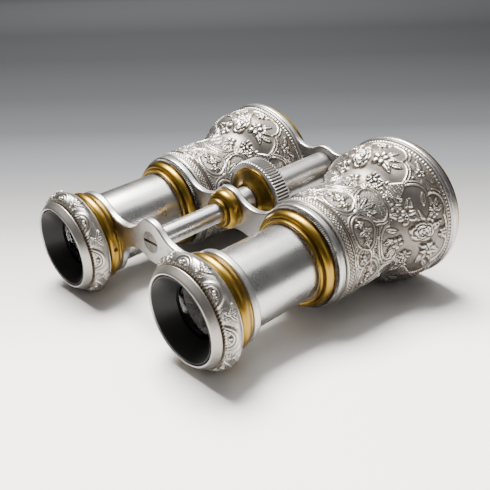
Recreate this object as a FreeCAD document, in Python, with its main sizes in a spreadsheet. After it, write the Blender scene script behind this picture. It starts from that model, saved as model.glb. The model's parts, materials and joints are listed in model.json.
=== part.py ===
import FreeCAD, Part
import Sketcher
import math
import os
import re

# Opera glasses: two Galilean telescopes held side by side by three bridges, with a centre wheel
# that screws the eyepieces in and out.
#
# Every piece is drawn in the optical frame: X across, Y along the optical axes from the eyecups
# to the objectives, Z up, with Y = 0 at the front of the eyecups and Z = 0 on the optical axes.
# A common stand placement then tips the whole object forward, so that it rests on the two eyecup
# rims and the two front bridge rings, with the origin below the middle of its box.

os.makedirs("parts", exist_ok=True)
doc = FreeCAD.newDocument("opera_glasses")
sheet = doc.addObject("Spreadsheet::Sheet", "Sizes")

SIZES = [
    # the two overall sizes
    ("axis_spacing", 60.0, "between the two optical axes"),
    ("barrel_length", 40.1, "embossed barrel, mid bridge to front bridge"),
    # stations along the optical axes, each the length of one piece
    ("eyecup_rim_length", 8.6, ""),
    ("eyepiece_ring_length", 5.3, ""),
    ("eyepiece_bridge_thickness", 2.4, ""),
    ("rest_extension", 22.3, "bare draw tube at rest, bridge to guide collar"),
    ("guide_collar_length", 3.7, ""),
    ("knurled_ring_length", 1.1, ""),
    ("mid_bridge_thickness", 2.4, ""),
    ("front_bridge_thickness", 2.3, ""),
    ("cell_flange_length", 2.0, ""),
    # clearances
    ("running_gap", 0.06, "radial, between pieces that slide or turn"),
    ("seat_gap", 0.02, "radial, between pieces that stay together"),
    ("end_gap", 0.2, "axial, between pieces that turn past each other"),
    # eyecup and eyepiece
    ("eyecup_step", 0.58, "black dish's mouth over the draw tube's radius"),
    ("eyecup_aperture", 8.0, "radius of the hole that the eye looks through"),
    ("eyecup_depth", 6.0, ""),
    ("eyecup_edge", 0.5, "height of the rim's lip over the dish"),
    ("dish_floor", 5.6, "depth at which the cone meets the aperture"),
    ("lip_width", 0.8, ""),
    ("bezel_width", 2.43, ""),
    ("bezel_length", 2.3, ""),
    ("groove_depth", 0.6, ""),
    ("band_start", 3.0, "where the ornament band leaves the groove"),
    ("band_height", 4.63, "crest of the ornament band over the dish's mouth"),
    ("band_crest", 6.1, ""),
    ("band_round", 4.2, "radius of the band's rounded section"),
    ("band_back_height", 2.73, ""),
    ("retainer_length", 0.75, ""),
    ("retainer_width", 0.7, "overlap on the ocular lens"),
    ("ocular_cell_wall", 1.85, ""),
    ("ocular_centre", 1.2, ""),
    ("ocular_front_curve", 40.0, ""),
    ("ocular_back_curve", 30.0, ""),
    ("ocular_shoulder_width", 0.8, ""),
    ("ocular_shoulder", 1.6, ""),
    ("ring_step_height", 1.81, "brass ring over the draw tube"),
    ("ring_step_length", 0.9, ""),
    ("ring_bead_length", 3.4, ""),
    ("bead_roundness", 0.6, "bead's section radius as a share of its length"),
    ("grub_radius", 0.55, ""),
    # draw tubes and their guides
    ("draw_tube_radius", 11.49, ""),
    ("draw_tube_wall", 0.6, ""),
    ("outward_travel", 3.0, "from rest to where the stop ring meets its guide"),
    ("stop_gap", 0.3, "left between stop ring and guide at that end"),
    ("stop_ring_height", 1.11, ""),
    ("stop_ring_length", 2.0, ""),
    ("lining_thickness", 0.45, ""),
    ("lining_set_back", 0.6, ""),
    ("guide_sleeve_wall", 1.38, ""),
    ("guide_sleeve_end", 1.6, "sleeve length past the mid bridge"),
    ("guide_lip_wall", 0.93, ""),
    ("guide_lip_length", 0.8, ""),
    ("guide_step_length", 0.5, ""),
    ("guide_crest_height", 1.44, "over the sleeve"),
    ("collar_roundness", 0.95, "collar bead's section radius as a share of its length"),
    ("knurled_ring_width", 1.9, ""),
    # bridges
    ("eyepiece_ring_width", 1.96, ""),
    ("eyepiece_boss", 7.1, ""),
    ("eyepiece_upper_waist", 3.95, "half of the web's height at its waist, above the line of centres"),
    ("eyepiece_lower_waist", 2.94, "the same, below the line of centres"),
    ("mid_ring_width", 2.35, ""),
    ("mid_boss", 6.9, ""),
    ("mid_upper_waist", 4.51, ""),
    ("mid_lower_waist", 5.47, ""),
    ("front_ring_width", 0.8, "over the barrel's mouth"),
    ("front_boss", 7.2, ""),
    ("front_upper_waist", 6.72, ""),
    ("front_lower_waist", 5.99, ""),
    ("bridge_round", 0.7, "rounding of the bridges' edges"),
    # barrels
    ("waist_step", 0.45, "waist of the barrel over the mid bridge's ring"),
    ("flare_rise", 5.7, "mouth of the barrel over its waist"),
    ("flare_length", 12.6, ""),
    ("barrel_bead_height", 0.45, ""),
    ("barrel_bead_length", 1.5, ""),
    ("barrel_wall", 0.9, ""),
    ("liner_wall", 0.55, ""),
    # objectives
    ("cell_flange_set_in", 0.2, "flange inside the barrel's mouth radius"),
    ("cell_wall", 1.1, ""),
    ("cell_back_length", 1.1, "cell behind the flint lens"),
    ("cell_to_flare", 0.1, "between the cell and the start of the wide part"),
    ("recess_wall", 0.55, "wall round the open recess in front of the lens"),
    ("recess_depth", 4.2, ""),
    ("lens_set_back", 2.2, "from the recess floor to the crown lens's edge"),
    ("lens_ring_length", 1.3, ""),
    ("lens_ring_width", 1.1, ""),
    ("crown_front_curve", 100.0, ""),
    ("crown_back_curve", 100.0, ""),
    ("crown_edge", 1.0, ""),
    ("flint_centre", 1.0, ""),
    ("cement_gap", 0.02, ""),
    ("cell_shoulder", 0.9, ""),
    # focusing gear on the centre line
    ("centre_height", 6.66, "of the centre line over the optical axes"),
    ("slider_radius", 3.11, ""),
    ("slider_wall", 0.8, ""),
    ("slider_seat", 0.9, "depth of the slider tube in the eyepiece bridge"),
    ("slider_inner_end", 21.4, "slider tube past the guide collar's face at rest"),
    ("slider_plug_length", 8.6, ""),
    ("screw_head_radius", 3.4, ""),
    ("screw_head_length", 1.1, ""),
    ("screw_radius", 1.3, ""),
    ("screw_reach", 6.0, "screw shank inside the slider plug"),
    ("slot_width", 0.8, ""),
    ("slot_depth", 0.6, ""),
    ("collar_crest_wall", 3.43, ""),
    ("collar_lip_wall", 1.33, ""),
    ("collar_spigot_wall", 1.13, ""),
    ("sleeve_wall", 1.13, ""),
    ("sleeve_length", 9.4, ""),
    ("wheel_radius", 11.52, ""),
    ("wheel_width", 5.5, ""),
    ("wheel_station", 8.0, "from the mid bridge to the wheel"),
    ("wheel_chamfer", 0.4, ""),
    ("hub_wall", 2.2, "over the fixed sleeve"),
    ("dome_radius", 9.6, ""),
    ("dome_mouth_gap", 0.3, ""),
    ("dome_height", 2.6, ""),
    ("dome_edge", 0.45, ""),
    ("dome_lip", 0.5, ""),
    ("centre_tube_room", 1.09, "round the slider tube"),
    ("centre_tube_wall", 0.74, ""),
    ("lead_screw_reach", 8.9, "from the guide collar's face to the screw's free end"),
    ("nut_length", 6.0, ""),
    ("nut_wall", 0.23, ""),
    ("plug_length", 3.4, ""),
    ("journal_radius", 2.4, ""),
    ("bush_wall", 1.1, ""),
    ("pivot_head_radius", 4.2, ""),
    ("pivot_head_length", 1.0, ""),
    ("pivot_screw_radius", 1.1, ""),
    ("pivot_screw_reach", 3.6, ""),
    ("washer_thickness", 0.4, ""),
]
NAMES = [name for name, _value, _note in SIZES]


def fill_sheet():
    """Write each driving size on a row of its own: name, value and note."""
    for row, (name, value, note) in enumerate(SIZES, start=1):
        sheet.set("A%d" % row, name)
        sheet.set("B%d" % row, "%g" % value)
        sheet.set("C%d" % row, note)
        sheet.setAlias("B%d" % row, name)
    doc.recompute()


def add_size(name, content):
    """Add a size that follows from other sizes, or from the finished geometry."""
    row = len(NAMES) + 1
    NAMES.append(name)
    sheet.set("A%d" % row, name)
    sheet.set("B%d" % row, content)
    sheet.setAlias("B%d" % row, name)
    doc.recompute()


def bound(text):
    """Turn size names in a formula into references to the sheet."""
    return re.sub(r"[a-z]\w*", lambda m: "Sizes." + m.group(0) if m.group(0) in NAMES else m.group(0), text)


def value_of(text):
    """Value of a formula, in millimetres."""
    result = sheet.evalExpression(bound(text))
    return float(getattr(result, "Value", result))


fill_sheet()

# Stations along the optical axes, from the eyecups to the objectives.
RING_FRONT = "eyecup_rim_length"
BRIDGE_FRONT = RING_FRONT + " + eyepiece_ring_length"
BRIDGE_BACK = BRIDGE_FRONT + " + eyepiece_bridge_thickness"
COLLAR_FRONT = BRIDGE_BACK + " + rest_extension"
KNURL_FRONT = COLLAR_FRONT + " + guide_collar_length"
MID_FRONT = KNURL_FRONT + " + knurled_ring_length"
MID_BACK = MID_FRONT + " + mid_bridge_thickness"
FRONT_BACK = MID_BACK + " + barrel_length"
FRONT_FACE = FRONT_BACK + " + front_bridge_thickness"
OBJECTIVE_FACE = FRONT_FACE + " + cell_flange_length"
WHEEL_FRONT = MID_BACK + " + wheel_station"
WHEEL_BACK = WHEEL_FRONT + " + wheel_width"

# Radii that follow from the draw tube, so that what fits on it or round it stays fitted.
TUBE_SEAT = "draw_tube_radius + seat_gap"
TUBE_BORE = "draw_tube_radius - draw_tube_wall"
EYECUP_RADIUS = "draw_tube_radius + eyecup_step"
BEZEL_RADIUS = EYECUP_RADIUS + " + bezel_width"
BAND_RADIUS = EYECUP_RADIUS + " + band_height"
OCULAR_RADIUS = TUBE_BORE + " - 2 * seat_gap - ocular_cell_wall"
LINING_OUTER = "draw_tube_radius + running_gap + lining_thickness"
GUIDE_BORE = LINING_OUTER + " + seat_gap"
GUIDE_LIP = GUIDE_BORE + " + guide_lip_wall"
GUIDE_SLEEVE = GUIDE_BORE + " + guide_sleeve_wall"
WAIST = GUIDE_SLEEVE + " + mid_ring_width + waist_step"
MOUTH = WAIST + " + flare_rise"
FRONT_RING = MOUTH + " + front_ring_width"

# Radii that follow from the slider tube on the centre line.
SLIDER_BORE = "slider_radius - slider_wall"
SLIDER_HOLE = "slider_radius + running_gap"
COLLAR_SPIGOT = SLIDER_HOLE + " + collar_spigot_wall"
CENTRE_SLEEVE = SLIDER_HOLE + " + sleeve_wall"
HUB_RADIUS = CENTRE_SLEEVE + " + hub_wall"
CENTRE_TUBE_BORE = "slider_radius + centre_tube_room"
CENTRE_TUBE = CENTRE_TUBE_BORE + " + centre_tube_wall"
LEAD_SCREW = SLIDER_BORE + " - seat_gap - nut_wall - running_gap"

# Axes that a body's own Y axis lies on: side of the middle, and height over the optical axes.
SIDES = (("L", (-1, "0")), ("R", (1, "0")))
ON_CENTRE = (0, "centre_height")
MIDWAY = (0, "0")
placed = []


def body_at(label, axis):
    """A body for one piece, with the axis that it is placed on."""
    body = doc.addObject("PartDesign::Body", label)
    body.Label = label
    placed.append((body, axis))
    return body


def origin_plane(body, role):
    return next(item for item in body.Origin.OriginFeatures if item.Role == role)


def sketch_on(body, role, name, offset=None):
    """A sketch on one of the body's own planes, moved along the plane's normal by a formula."""
    sketch = body.newObject("Sketcher::SketchObject", name)
    sketch.AttachmentSupport = [(origin_plane(body, role), "")]
    sketch.MapMode = "FlatFace"
    if offset:
        sketch.setExpression("AttachmentOffset.Base.z", bound(offset))
    return sketch


def dimension(sketch, kind, *arguments):
    """Add a dimension whose last argument is a formula, and bind it to the sheet."""
    formula = arguments[-1]
    index = sketch.addConstraint(Sketcher.Constraint(kind, *arguments[:-1], value_of(formula)))
    sketch.setExpression("Constraints[%d]" % index, bound(formula))


def pin_point(sketch, geometry, point, across, along):
    """Place a point by two formulas, where '0' puts it on an axis."""
    if across == "0":
        sketch.addConstraint(Sketcher.Constraint("PointOnObject", geometry, point, -2))
    else:
        dimension(sketch, "DistanceX", -1, 1, geometry, point, across)
    if along == "0":
        sketch.addConstraint(Sketcher.Constraint("PointOnObject", geometry, point, -1))
    else:
        dimension(sketch, "DistanceY", -1, 1, geometry, point, along)


def arc_between(start, end, radius, bend):
    """Arc from start to end with its centre to the left (bend 1) or right (bend -1) of the chord."""
    chord = end - start
    height = math.sqrt(max(radius ** 2 - (chord.Length / 2) ** 2, 0.0))
    left = FreeCAD.Vector(-chord.y, chord.x, 0).normalize()
    centre = (start + end) / 2 + left * height * bend
    angles = [math.atan2(p.y - centre.y, p.x - centre.x) for p in (start, end)]
    circle = Part.Circle(centre, FreeCAD.Vector(0, 0, 1), radius)
    if bend > 0:
        return Part.ArcOfCircle(circle, angles[0], angles[1]), (1, 2)
    return Part.ArcOfCircle(circle, angles[1], angles[0]), (2, 1)


def outline(sketch, points):
    """Closed outline of (across, along) points; a third entry (radius, bend) makes an arc to the next."""
    spots = [FreeCAD.Vector(value_of(p[0]), value_of(p[1]), 0) for p in points]
    ends = []
    for index, point in enumerate(points):
        start, end = spots[index], spots[(index + 1) % len(spots)]
        if len(point) == 3:
            radius, bend = point[2]
            curve, order = arc_between(start, end, value_of(radius), bend)
            ends.append((sketch.addGeometry(curve, False),) + order)
            dimension(sketch, "Radius", ends[-1][0], radius)
        else:
            ends.append((sketch.addGeometry(Part.LineSegment(start, end), False), 1, 2))
    for index, point in enumerate(points):
        geometry, first, _last = ends[index]
        before, _first, last = ends[index - 1]
        sketch.addConstraint(Sketcher.Constraint("Coincident", before, last, geometry, first))
        pin_point(sketch, geometry, first, point[0], point[1])


def turned(label, axis, points):
    """A piece turned about the optical or centre axis from its half section (radius, station)."""
    body = body_at(label, axis)
    sketch = sketch_on(body, "XY_Plane", label + "_section")
    outline(sketch, points)
    turn = body.newObject("PartDesign::Revolution", label + "_turned")
    turn.Profile = sketch
    turn.ReferenceAxis = (sketch, ["V_Axis"])
    turn.Angle = 360
    body.Tip = turn
    return body


def tube(label, axis, outer, inner, start, end):
    """A plain ring or tube."""
    return turned(label, axis, [(inner, start), (outer, start), (outer, end), (inner, end)])


def cut_slot(body, face, width, half_length):
    """A screwdriver slot across a screw's head, cut from its face towards +Y."""
    sketch = sketch_on(body, "XZ_Plane", body.Label + "_slot", "-(%s)" % face)
    corners = [(-1, -1), (1, -1), (1, 1), (-1, 1)]
    outline(sketch, [("%d * %s" % (a, half_length), "%d * %s / 2" % (b, width)) for a, b in corners])
    pocket = body.newObject("PartDesign::Pocket", body.Label + "_slot_cut")
    pocket.Profile = sketch
    pocket.setExpression("Length", bound("slot_depth"))
    body.Tip = pocket
    return pocket


# ---------------------------------------------------------------- eyecups and eyepieces

def sagitta(curve, radius):
    """How far a lens face of this curve bulges over this radius."""
    return "(%s - sqrt(%s ^ 2 - (%s) ^ 2))" % (curve, curve, radius)


LENS_FRONT = "eyecup_depth + retainer_length + 2 * seat_gap"
LENS_BACK = "%s + ocular_centre + %s + %s" % (LENS_FRONT, sagitta("ocular_front_curve", OCULAR_RADIUS),
                                              sagitta("ocular_back_curve", OCULAR_RADIUS))


def eyecup_rim(tag, axis):
    """Aluminium rim with a thin lip, a plain bezel, a groove and a rounded ornament band."""
    seat = "eyecup_depth + seat_gap"
    turned("eyecup_rim_" + tag, axis, [
        (EYECUP_RADIUS + " + seat_gap", "0"),
        (EYECUP_RADIUS + " + lip_width", "0"),
        (BEZEL_RADIUS, "bezel_length"),
        (BEZEL_RADIUS + " - groove_depth", "bezel_length + groove_depth / 2"),
        (BEZEL_RADIUS, "band_start", ("band_round", 1)),
        (BAND_RADIUS, "band_crest", ("band_round", 1)),
        (EYECUP_RADIUS + " + band_back_height", RING_FRONT),
        (TUBE_SEAT, RING_FRONT),
        (TUBE_SEAT, seat),
        (EYECUP_RADIUS + " + seat_gap", seat),
    ])


def eyecup(tag, axis):
    """Black dish that keeps the eye at its distance, with a round aperture in its floor."""
    turned("eyecup_" + tag, axis, [
        (EYECUP_RADIUS + " - lip_width / 4", "eyecup_edge"),
        (EYECUP_RADIUS, "eyecup_edge"),
        (EYECUP_RADIUS, "eyecup_depth"),
        ("eyecup_aperture", "eyecup_depth"),
        ("eyecup_aperture", "dish_floor"),
    ])


def eyepiece_ring(tag, axis):
    """Brass ring between the rim and the bridge, with a step, a bead and a pin hole."""
    step = "draw_tube_radius + ring_step_height"
    bead_start = RING_FRONT + " + ring_step_length"
    bead_end = bead_start + " + ring_bead_length"
    body = turned("eyepiece_ring_" + tag, axis, [
        (TUBE_SEAT, RING_FRONT),
        (step, RING_FRONT),
        (step, bead_start, ("ring_bead_length * bead_roundness", 1)),
        (step, bead_end),
        (step + " - groove_depth / 2", bead_end),
        (step + " - groove_depth / 2", BRIDGE_FRONT),
        (TUBE_SEAT, BRIDGE_FRONT),
    ])
    middle = "%s + ring_bead_length / 2" % bead_start
    sketch = sketch_on(body, "YZ_Plane", body.Label + "_hole")
    pin_circle(sketch, middle, "grub_radius + seat_gap")
    pocket = body.newObject("PartDesign::Pocket", body.Label + "_hole_cut")
    pocket.Profile = sketch
    pocket.Type = "ThroughAll"
    pocket.Reversed = axis[0] < 0
    body.Tip = pocket
    grub = body_at("grub_screw_" + tag, axis)
    start = "%d * (%s)" % (-axis[0], TUBE_SEAT)
    sketch = sketch_on(grub, "YZ_Plane", grub.Label + "_circle", start)
    pin_circle(sketch, middle, "grub_radius")
    pad = grub.newObject("PartDesign::Pad", grub.Label + "_pad")
    pad.Profile = sketch
    pad.setExpression("Length", bound("ring_step_height"))
    pad.Reversed = axis[0] > 0
    grub.Tip = pad


def pin_circle(sketch, along, radius):
    """A circle on the plane's first axis, at a distance from the middle."""
    circle = Part.Circle(FreeCAD.Vector(value_of(along), 0, 0), FreeCAD.Vector(0, 0, 1), value_of(radius))
    index = sketch.addGeometry(circle, False)
    pin_point(sketch, index, 3, along, "0")
    dimension(sketch, "Radius", index, radius)


def eyepiece_optics(tag, axis):
    """Concave ocular in a brass cell inside the draw tube, under a blackened retaining ring."""
    cell_radius = TUBE_BORE + " - seat_gap"
    tube("ocular_retainer_" + tag, axis, cell_radius, OCULAR_RADIUS + " - retainer_width",
         "eyecup_depth + seat_gap", "eyecup_depth + retainer_length")
    turned("ocular_lens_" + tag, axis, [
        ("0", LENS_FRONT + " + " + sagitta("ocular_front_curve", OCULAR_RADIUS),
         ("ocular_front_curve", -1)),
        (OCULAR_RADIUS, LENS_FRONT),
        (OCULAR_RADIUS, LENS_BACK, ("ocular_back_curve", -1)),
        ("0", LENS_BACK + " - " + sagitta("ocular_back_curve", OCULAR_RADIUS)),
    ])
    turned("ocular_cell_" + tag, axis, [
        (OCULAR_RADIUS + " + seat_gap", LENS_FRONT),
        (cell_radius, LENS_FRONT),
        (cell_radius, LENS_BACK + " + ocular_shoulder"),
        (OCULAR_RADIUS + " - ocular_shoulder_width", LENS_BACK + " + ocular_shoulder"),
        (OCULAR_RADIUS + " - ocular_shoulder_width", LENS_BACK + " + seat_gap"),
        (OCULAR_RADIUS + " + seat_gap", LENS_BACK + " + seat_gap"),
    ])


def draw_tube(tag, axis):
    """Bright tube that slides in the guide collar, with a stop ring on its inner end."""
    ring_start = MID_BACK + " + guide_sleeve_end + outward_travel + stop_gap"
    end = ring_start + " + stop_ring_length"
    turned("draw_tube_" + tag, axis, [
        (TUBE_BORE, "eyecup_depth + 2 * seat_gap"),
        ("draw_tube_radius", "eyecup_depth + 2 * seat_gap"),
        ("draw_tube_radius", end),
        (TUBE_BORE, end),
    ])
    tube("draw_stop_ring_" + tag, axis, "draw_tube_radius + stop_ring_height", TUBE_SEAT,
         ring_start, end)


# ---------------------------------------------------------------- objective stations and radii

CELL_OUTER = MOUTH + " - barrel_wall - liner_wall - 2 * seat_gap"
LENS_SEAT = CELL_OUTER + " - cell_wall"
LENS_RADIUS = LENS_SEAT + " - seat_gap"
RECESS_FLOOR = OBJECTIVE_FACE + " - recess_depth"
CROWN_EDGE_FRONT = RECESS_FLOOR + " - lens_set_back"
CROWN_EDGE_BACK = CROWN_EDGE_FRONT + " - crown_edge"
CROWN_FRONT_BULGE = sagitta("crown_front_curve", LENS_RADIUS)
CROWN_BACK_BULGE = sagitta("crown_back_curve", LENS_RADIUS)
FLINT_BACK = CROWN_EDGE_BACK + " - " + CROWN_BACK_BULGE + " - flint_centre"
CELL_BACK = FLINT_BACK + " - cell_back_length"
FLARE_END = CELL_BACK + " - cell_to_flare"


# ---------------------------------------------------------------- guides and barrels

COLLAR_BEAD = "((guide_collar_length - guide_lip_length - guide_step_length) * collar_roundness)"


def guide_collar(tag, axis):
    """Brass collar with a lip, a step and a broad bead, and a sleeve through the mid bridge."""
    lip_end = COLLAR_FRONT + " + guide_lip_length"
    step_end = lip_end + " + guide_step_length"
    sleeve_end = MID_BACK + " + guide_sleeve_end"
    turned("guide_collar_" + tag, axis, [
        (GUIDE_BORE, COLLAR_FRONT),
        (GUIDE_LIP, COLLAR_FRONT),
        (GUIDE_LIP, lip_end),
        (GUIDE_LIP + " - groove_depth / 3", lip_end),
        (GUIDE_LIP + " - groove_depth / 3", step_end),
        (GUIDE_SLEEVE + " + groove_depth / 2", step_end, (COLLAR_BEAD, 1)),
        (GUIDE_SLEEVE + " + guide_crest_height - groove_depth / 2", KNURL_FRONT),
        (GUIDE_SLEEVE, KNURL_FRONT),
        (GUIDE_SLEEVE, sleeve_end),
        (GUIDE_BORE, sleeve_end),
    ])
    tube("knurled_ring_" + tag, axis, GUIDE_SLEEVE + " + knurled_ring_width",
         GUIDE_SLEEVE + " + seat_gap", KNURL_FRONT, MID_FRONT)
    tube("guide_lining_" + tag, axis, LINING_OUTER, "draw_tube_radius + running_gap",
         COLLAR_FRONT + " + lining_set_back", sleeve_end)


def flared(label, axis, outer_drop, inner_drop, bead):
    """A barrel shell: cylinder, S-shaped flare and wider cylinder, each set in from the envelope."""
    flare_from = FLARE_END + " - flare_length"
    middle = FLARE_END + " - flare_length / 2"
    curve = "((flare_length ^ 2 + flare_rise ^ 2) / (4 * flare_rise))"
    bead_from = FRONT_BACK + " - barrel_bead_length"
    outer, inner = (WAIST + " - (%s)" % outer_drop, WAIST + " - (%s)" % inner_drop)
    points = [
        (outer, MID_BACK),
        (outer, flare_from, (curve, -1)),
        (outer + " + flare_rise / 2", middle, (curve, 1)),
        (outer + " + flare_rise", FLARE_END),
    ]
    if bead:
        points += [
            (MOUTH, bead_from),
            (MOUTH + " + barrel_bead_height", bead_from + " + groove_depth / 2"),
            (MOUTH + " + barrel_bead_height", FRONT_BACK),
        ]
    else:
        points.append((outer + " + flare_rise", FRONT_BACK))
    points += [
        (inner + " + flare_rise", FRONT_BACK),
        (inner + " + flare_rise", FLARE_END, (curve, -1)),
        (inner + " + flare_rise / 2", middle, (curve, 1)),
        (inner, flare_from),
        (inner, MID_BACK),
    ]
    turned(label, axis, points)


def barrel(tag, axis):
    """Embossed outer shell over a blackened inner tube."""
    flared("objective_barrel_" + tag, axis, "0", "barrel_wall", True)
    flared("barrel_liner_" + tag, axis, "barrel_wall + seat_gap", "barrel_wall + seat_gap + liner_wall",
           False)


# ---------------------------------------------------------------- objectives

def objective(tag, axis):
    """Brass cell with a flange and an open recess, and the cemented crown and flint lenses in it."""
    flange = MOUTH + " - cell_flange_set_in"
    turned("objective_cell_" + tag, axis, [
        (LENS_SEAT, FLINT_BACK + " - cement_gap"),
        (LENS_SEAT, RECESS_FLOOR),
        (CELL_OUTER + " - recess_wall", RECESS_FLOOR),
        (CELL_OUTER + " - recess_wall", OBJECTIVE_FACE),
        (flange + " - groove_depth", OBJECTIVE_FACE),
        (flange, OBJECTIVE_FACE + " - groove_depth"),
        (flange, FRONT_FACE),
        (CELL_OUTER, FRONT_FACE),
        (CELL_OUTER, CELL_BACK),
        (LENS_SEAT + " - cell_shoulder", CELL_BACK),
        (LENS_SEAT + " - cell_shoulder", FLINT_BACK + " - cement_gap"),
    ])
    turned("crown_lens_" + tag, axis, [
        ("0", CROWN_EDGE_BACK + " - " + CROWN_BACK_BULGE, ("crown_back_curve", 1)),
        (LENS_RADIUS, CROWN_EDGE_BACK),
        (LENS_RADIUS, CROWN_EDGE_FRONT, ("crown_front_curve", 1)),
        ("0", CROWN_EDGE_FRONT + " + " + CROWN_FRONT_BULGE),
    ])
    turned("flint_lens_" + tag, axis, [
        ("0", FLINT_BACK),
        (LENS_RADIUS, FLINT_BACK),
        (LENS_RADIUS, CROWN_EDGE_BACK + " - cement_gap", ("crown_back_curve", -1)),
        ("0", CROWN_EDGE_BACK + " - " + CROWN_BACK_BULGE + " - cement_gap"),
    ])
    ring_bore = LENS_RADIUS + " - lens_ring_width"
    ring_start = "%s + %s - %s + seat_gap" % (CROWN_EDGE_FRONT, CROWN_FRONT_BULGE,
                                              sagitta("crown_front_curve", ring_bore))
    tube("lens_ring_" + tag, axis, LENS_RADIUS, ring_bore, ring_start,
         ring_start + " + lens_ring_length")


# ---------------------------------------------------------------- bridges

def web_radius(ring, boss, waist):
    """Radius of the arc that touches a ring and the boss and passes the line of centres at the waist."""
    reach = "((axis_spacing / 2) ^ 2 + centre_height ^ 2)"
    a, b = "(%s - %s)" % (ring, waist), "(%s - %s)" % (boss, waist)
    a_part, b_part = "((%s) ^ 2 - %s ^ 2)" % (ring, waist), "((%s) ^ 2 - %s ^ 2)" % (boss, waist)
    rest = "(%s - %s - %s)" % (reach, a_part, b_part)
    middle = "(%s * (%s + %s) + 2 * (%s * %s + %s * %s))" % (rest, a, b, a_part, b, a, b_part)
    last = "(%s ^ 2 - 4 * %s * %s)" % (rest, a_part, b_part)
    return "%s / (2 * (%s + sqrt(%s ^ 2 - (%s - %s) ^ 2 * %s)))" % (last, middle, middle, a, b, last)


def web_centre(ring, boss, web, level):
    """Centre of the arc that blends a ring into the boss, above (level 1) or below (level -1)."""
    half = value_of("axis_spacing / 2")
    height = value_of("centre_height")
    reach = math.hypot(half, height)
    along = ((boss + web) ** 2 - (ring + web) ** 2 + reach ** 2) / (2 * reach)
    away = math.sqrt((boss + web) ** 2 - along ** 2)
    unit_x, unit_z = half / reach, -height / reach
    return (along * unit_x - level * away * unit_z, height + along * unit_z + level * away * unit_x)


def bridge(label, ring, boss, upper_waist, lower_waist, front, thickness, ring_bore, boss_bore):
    """A flat bridge: two rings and a centre boss joined by waisted webs, edges rounded over."""
    upper, lower = label + "_upper_web", label + "_lower_web"
    add_size(upper, "=" + web_radius(ring, boss, upper_waist))
    add_size(lower, "=" + web_radius(ring, boss, lower_waist))
    body = body_at(label, MIDWAY)
    sketch = sketch_on(body, "XZ_Plane", label + "_outline", "-(%s)" % front)
    half, height = value_of("axis_spacing / 2"), value_of("centre_height")
    ring_r, boss_r = value_of(ring), value_of(boss)
    webs = {(s, level): web_centre(ring_r, boss_r, value_of(web), level)
            for s in (1, -1) for level, web in ((1, upper), (-1, lower))}
    webs = {(s, level): (s * x, z, value_of(upper if level > 0 else lower))
            for (s, level), (x, z) in webs.items()}

    def touch(circle, web):
        """Point where a web arc touches a ring or the boss."""
        share = circle[2] / (circle[2] + web[2])
        return FreeCAD.Vector(circle[0] + (web[0] - circle[0]) * share,
                              circle[1] + (web[1] - circle[1]) * share, 0)

    right, left, middle = (half, 0.0, ring_r), (-half, 0.0, ring_r), (0.0, height, boss_r)
    ring_points = [touch(right, webs[1, -1]), touch(right, webs[1, 1]), touch(middle, webs[1, 1]),
                   touch(middle, webs[-1, 1]), touch(left, webs[-1, 1]), touch(left, webs[-1, -1]),
                   touch(middle, webs[-1, -1]), touch(middle, webs[1, -1])]
    circles = [right, webs[1, 1], middle, webs[-1, 1], left, webs[-1, -1], middle, webs[1, -1]]
    radii = [ring, upper, boss, upper, ring, lower, boss, lower]
    arcs = []
    for index, (x, z, radius) in enumerate(circles):
        start, end = ring_points[index], ring_points[(index + 1) % 8]
        is_web = index % 2 == 1
        first, second = (end, start) if is_web else (start, end)
        angles = [math.atan2(p.y - z, p.x - x) for p in (first, second)]
        circle = Part.Circle(FreeCAD.Vector(x, z, 0), FreeCAD.Vector(0, 0, 1), radius)
        geometry = sketch.addGeometry(Part.ArcOfCircle(circle, angles[0], angles[1]), False)
        arcs.append((geometry, 2 if is_web else 1, 1 if is_web else 2))
    for index, radius in enumerate(radii):
        before = arcs[index - 1]
        here = arcs[index]
        sketch.addConstraint(Sketcher.Constraint("Tangent", before[0], before[2], here[0], here[1]))
        dimension(sketch, "Radius", here[0], radius)
    for index, sign in ((0, 1), (4, -1)):
        pin_point(sketch, arcs[index][0], 3, "%d * axis_spacing / 2" % sign, "0")
    for index in (2, 6):
        pin_point(sketch, arcs[index][0], 3, "0", "centre_height")
    pad = body.newObject("PartDesign::Pad", label + "_pad")
    pad.Profile = sketch
    pad.setExpression("Length", bound(thickness))
    pad.Reversed = True
    doc.recompute()
    rounded = body.newObject("PartDesign::Fillet", label + "_rounding")
    rims = ["Edge%d" % (n + 1) for n, edge in enumerate(pad.Shape.Edges)
            if abs(edge.BoundBox.YMax - edge.BoundBox.YMin) < 0.01]
    rounded.Base = (pad, rims)
    rounded.setExpression("Radius", bound("bridge_round"))
    doc.recompute()
    holes = sketch_on(body, "XZ_Plane", label + "_bores", "-(%s)" % front)
    for across, up, radius in (("axis_spacing / 2", "0", ring_bore), ("-1 * axis_spacing / 2", "0", ring_bore),
                               ("0", "centre_height", boss_bore)):
        spot = FreeCAD.Vector(value_of(across), value_of(up), 0)
        index = holes.addGeometry(Part.Circle(spot, FreeCAD.Vector(0, 0, 1), value_of(radius)), False)
        pin_point(holes, index, 3, across, up)
        dimension(holes, "Radius", index, radius)
    pocket = body.newObject("PartDesign::Pocket", label + "_bored")
    pocket.Profile = holes
    pocket.Type = "ThroughAll"
    body.Tip = pocket
    doc.recompute()
    return body


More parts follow.
